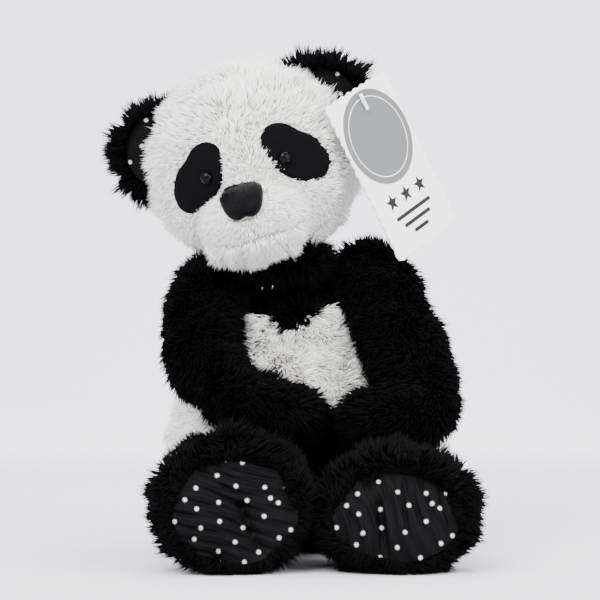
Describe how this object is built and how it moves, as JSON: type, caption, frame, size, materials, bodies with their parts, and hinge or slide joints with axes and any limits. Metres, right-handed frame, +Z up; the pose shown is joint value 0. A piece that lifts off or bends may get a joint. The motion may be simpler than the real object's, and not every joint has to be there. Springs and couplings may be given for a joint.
{
  "type": "plush panda",
  "caption": "Seated plush panda with a large tilted head, dotted ear linings and soles, forward-reaching arms, splayed legs and a scalloped card tag.",
  "frame": {"origin": "on the flat seat panel, under the middle of the body", "axes": "+Z up, the panda faces -Y, +X is to the right of someone looking at its face"},
  "size_m": [0.1947, 0.2083, 0.2803],
  "materials": {
    "white_plush": "dense white faux fur, pile about 9 mm",
    "black_plush": "dense black faux fur, pile about 9 mm",
    "patch_plush": "short black plush with a satin stitched edge",
    "dotted_cotton": "black woven cotton printed with small white stars",
    "nose_satin": "black ribbed satin",
    "eye_plastic": "polished black",
    "washer_plastic": "moulded",
    "fibre_fill": "polyester fibre filling",
    "pellet_cloth": "calico pouch of plastic pellets",
    "tag_card": "uncoated card with a plain grey disc",
    "clear_plastic": "clear moulded fastener"
  },
  "bodies": {
    "torso": {"chest_yoke": "black_plush", "belly_panel": "white_plush", "back_panel_left": "white_plush", "back_panel_right": "white_plush", "seat_panel": "white_plush", "torso_filling": "fibre_fill", "pellet_bag": "pellet_cloth"},
    "neck_collar": {"neck_collar": "black_plush"},
    "neck_core": {"neck_filling": "fibre_fill"},
    "head": {"head_gusset": "white_plush", "head_side_left": "white_plush", "head_side_right": "white_plush", "head_filling": "fibre_fill", "muzzle_left": "white_plush", "muzzle_right": "white_plush", "chin": "white_plush", "nose": "nose_satin", "eye_patch_left": "patch_plush", "eye_patch_right": "patch_plush", "eye_left": "eye_plastic", "eye_right": "eye_plastic", "eye_washer_left": "washer_plastic", "eye_washer_right": "washer_plastic"},
    "ear_left": {"ear_plush_left": "black_plush", "ear_lining_left": "dotted_cotton"},
    "ear_right": {"ear_plush_right": "black_plush", "ear_lining_right": "dotted_cotton", "tag_fastener": "clear_plastic"},
    "tag": {"hang_tag": "tag_card"},
    "arm_left": {"arm_left": "black_plush", "arm_filling_left": "fibre_fill"},
    "arm_right": {"arm_right": "black_plush", "arm_filling_right": "fibre_fill"},
    "leg_left": {"leg_left": "black_plush", "leg_filling_left": "fibre_fill", "sole_left": "dotted_cotton"},
    "leg_right": {"leg_right": "black_plush", "leg_filling_right": "fibre_fill", "sole_right": "dotted_cotton"}
  },
  "joints": [
    {"name": "head_tilt", "type": "hinge", "parent": "torso", "child": "neck_collar", "pos_m": [-0.02091, 0, 0.16499], "axis": [0, 1, 0], "range_deg": [-4, 4], "stiffness_Nm_per_rad": 0.9},
    {"name": "head_turn", "type": "hinge", "parent": "neck_collar", "child": "neck_core", "pos_m": [-0.02091, 0, 0.16499], "axis": [0, 0, 1], "range_deg": [-18, 12], "stiffness_Nm_per_rad": 0.3},
    {"name": "head_nod", "type": "hinge", "parent": "neck_core", "child": "head", "pos_m": [-0.02091, 0, 0.16499], "axis": [0.9613, -0.0698, 0.2666], "range_deg": [-7, 4], "stiffness_Nm_per_rad": 0.9},
    {"name": "ear_left_fold", "type": "hinge", "parent": "head", "child": "ear_left", "pos_m": [-0.09685, 0.00388, 0.23093], "axis": [0.1296, -0.0273, 0.9912], "range_deg": [-25, 25], "stiffness_Nm_per_rad": 0.03},
    {"name": "ear_right_fold", "type": "hinge", "parent": "head", "child": "ear_right", "pos_m": [0.01022, -0.00388, 0.26063], "axis": [-0.6216, 0.0273, 0.7829], "range_deg": [-5, 12], "stiffness_Nm_per_rad": 0.06},
    {"name": "tag_swing", "type": "hinge", "parent": "ear_right", "child": "tag", "pos_m": [0.02526, -0.02383, 0.2561], "axis": [0.6851, -0.6957, 0.2159], "range_deg": [0, 14]},
    {"name": "arm_left_raise", "type": "hinge", "parent": "torso", "child": "arm_left", "pos_m": [-0.058, 0, 0.146], "axis": [-1, 0, 0], "range_deg": [0, 26], "stiffness_Nm_per_rad": 0.15},
    {"name": "arm_right_raise", "type": "hinge", "parent": "torso", "child": "arm_right", "pos_m": [0.032, 0.002, 0.148], "axis": [-1, 0, 0], "range_deg": [0, 25], "stiffness_Nm_per_rad": 0.15},
    {"name": "leg_left_splay", "type": "hinge", "parent": "torso", "child": "leg_left", "pos_m": [-0.0445, -0.034, 0.0325], "axis": [0, 0, -1], "range_deg": [0, 22], "stiffness_Nm_per_rad": 0.15},
    {"name": "leg_right_splay", "type": "hinge", "parent": "torso", "child": "leg_right", "pos_m": [0.0412, -0.034, 0.0325], "axis": [0, 0, 1], "range_deg": [0, 22], "stiffness_Nm_per_rad": 0.15}
  ]
}
